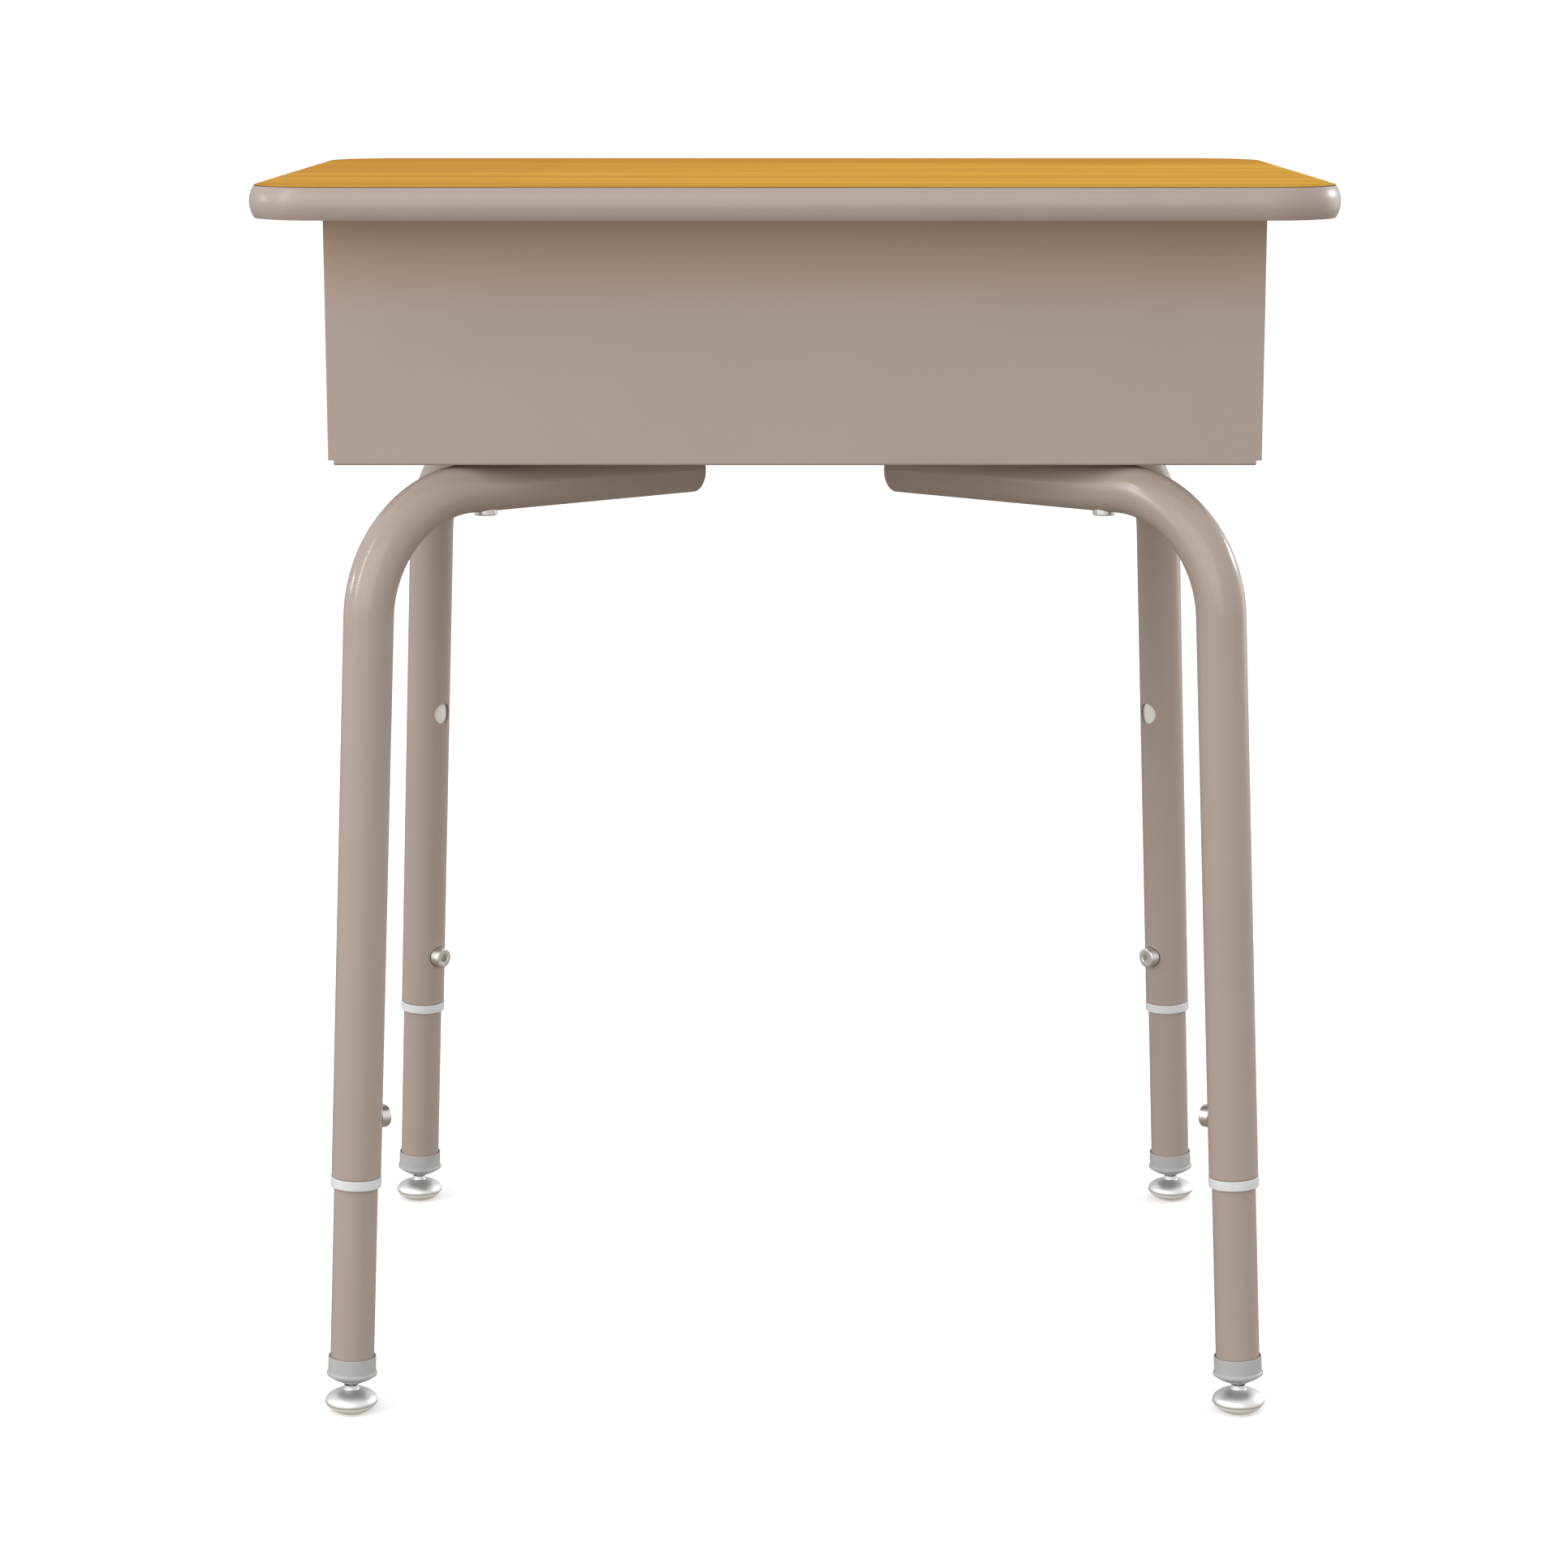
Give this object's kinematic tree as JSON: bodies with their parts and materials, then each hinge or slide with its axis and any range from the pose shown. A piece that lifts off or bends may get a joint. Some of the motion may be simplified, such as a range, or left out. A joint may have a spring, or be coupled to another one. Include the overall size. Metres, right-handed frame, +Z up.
{
  "type": "student desk",
  "caption": "Open-front student desk: wood-grain laminate top with a bumper edge band, folded steel book box and bent tube legs with telescoping lower ends and swivel glides.",
  "frame": {"origin": "on the floor, under the middle of the top", "axes": "+X to the right seen from the box's closed side, +Y towards the box's open side where the pupil sits, +Z up"},
  "size_m": [0.6096, 0.4572, 0.7092],
  "materials": {
    "oak_laminate": "orange oak-grain decorative laminate, satin",
    "board": "particle board, raw",
    "backer": "tan backer sheet",
    "edge_band": "taupe vinyl, low sheen",
    "powder_coat": "taupe powder coat, satin",
    "nylon": "white nylon",
    "ferrule": "grey moulded plastic",
    "nickel": "satin nickel plate",
    "pad": "pale grey nylon",
    "zinc": "bright zinc plate"
  },
  "bodies": {
    "desk": {"top_laminate": "oak_laminate", "top_core": "board", "top_backer": "backer", "edge_band": "edge_band", "book_box_pan": "powder_coat", "book_box_side_left": "powder_coat", "book_box_side_right": "powder_coat", "top_screw_left_1": "zinc", "top_screw_left_2": "zinc", "top_screw_left_3": "zinc", "top_screw_right_1": "zinc", "top_screw_right_2": "zinc", "top_screw_right_3": "zinc", "leg_tube_left_closed_side": "powder_coat", "leg_bolt_left_closed_side": "zinc", "leg_nut_left_closed_side": "zinc", "leg_screw_left_closed_side": "zinc", "nylon_ring_left_closed_side": "nylon", "adjust_bolt_left_closed_side": "zinc", "leg_tube_right_closed_side": "powder_coat", "leg_bolt_right_closed_side": "zinc", "leg_nut_right_closed_side": "zinc", "leg_screw_right_closed_side": "zinc", "nylon_ring_right_closed_side": "nylon", "adjust_bolt_right_closed_side": "zinc", "leg_tube_right_open_side": "powder_coat", "leg_bolt_right_open_side": "zinc", "leg_nut_right_open_side": "zinc", "leg_screw_right_open_side": "zinc", "nylon_ring_right_open_side": "nylon", "adjust_bolt_right_open_side": "zinc", "leg_tube_left_open_side": "powder_coat", "leg_bolt_left_open_side": "zinc", "leg_nut_left_open_side": "zinc", "leg_screw_left_open_side": "zinc", "nylon_ring_left_open_side": "nylon", "adjust_bolt_left_open_side": "zinc"},
    "lower_leg_left_closed_side": {"leg_insert_left_closed_side": "powder_coat", "ferrule_left_closed_side": "ferrule", "glide_stem_left_closed_side": "nickel"},
    "glide_left_closed_side": {"glide_dome_left_closed_side": "nickel", "glide_pad_left_closed_side": "pad"},
    "lower_leg_right_closed_side": {"leg_insert_right_closed_side": "powder_coat", "ferrule_right_closed_side": "ferrule", "glide_stem_right_closed_side": "nickel"},
    "glide_right_closed_side": {"glide_dome_right_closed_side": "nickel", "glide_pad_right_closed_side": "pad"},
    "lower_leg_right_open_side": {"leg_insert_right_open_side": "powder_coat", "ferrule_right_open_side": "ferrule", "glide_stem_right_open_side": "nickel"},
    "glide_right_open_side": {"glide_dome_right_open_side": "nickel", "glide_pad_right_open_side": "pad"},
    "lower_leg_left_open_side": {"leg_insert_left_open_side": "powder_coat", "ferrule_left_open_side": "ferrule", "glide_stem_left_open_side": "nickel"},
    "glide_left_open_side": {"glide_dome_left_open_side": "nickel", "glide_pad_left_open_side": "pad"}
  },
  "joints": [
    {"name": "leg_height_left_closed_side", "type": "slide", "parent": "desk", "child": "lower_leg_left_closed_side", "axis": [-0.039, -0.032, -0.9987], "range_m": [-0.0843, 0.0562]},
    {"name": "glide_tilt_left_closed_side", "type": "hinge", "parent": "lower_leg_left_closed_side", "child": "glide_left_closed_side", "pos_m": [-0.25931, -0.213, 0.0104], "axis": [0.6347, -0.7727, 0], "range_deg": [-8, 8]},
    {"name": "leg_height_right_closed_side", "type": "slide", "parent": "desk", "child": "lower_leg_right_closed_side", "axis": [0.039, -0.032, -0.9987], "range_m": [-0.0843, 0.0562]},
    {"name": "glide_tilt_right_closed_side", "type": "hinge", "parent": "lower_leg_right_closed_side", "child": "glide_right_closed_side", "pos_m": [0.25931, -0.213, 0.0104], "axis": [0.6347, 0.7727, 0], "range_deg": [-8, 8]},
    {"name": "leg_height_right_open_side", "type": "slide", "parent": "desk", "child": "lower_leg_right_open_side", "axis": [0.039, 0.032, -0.9987], "range_m": [-0.0843, 0.0562]},
    {"name": "glide_tilt_right_open_side", "type": "hinge", "parent": "lower_leg_right_open_side", "child": "glide_right_open_side", "pos_m": [0.25931, 0.213, 0.0104], "axis": [-0.6347, 0.7727, 0], "range_deg": [-8, 8]},
    {"name": "leg_height_left_open_side", "type": "slide", "parent": "desk", "child": "lower_leg_left_open_side", "axis": [-0.039, 0.032, -0.9987], "range_m": [-0.0843, 0.0562]},
    {"name": "glide_tilt_left_open_side", "type": "hinge", "parent": "lower_leg_left_open_side", "child": "glide_left_open_side", "pos_m": [-0.25931, 0.213, 0.0104], "axis": [-0.6347, -0.7727, 0], "range_deg": [-8, 8]}
  ]
}
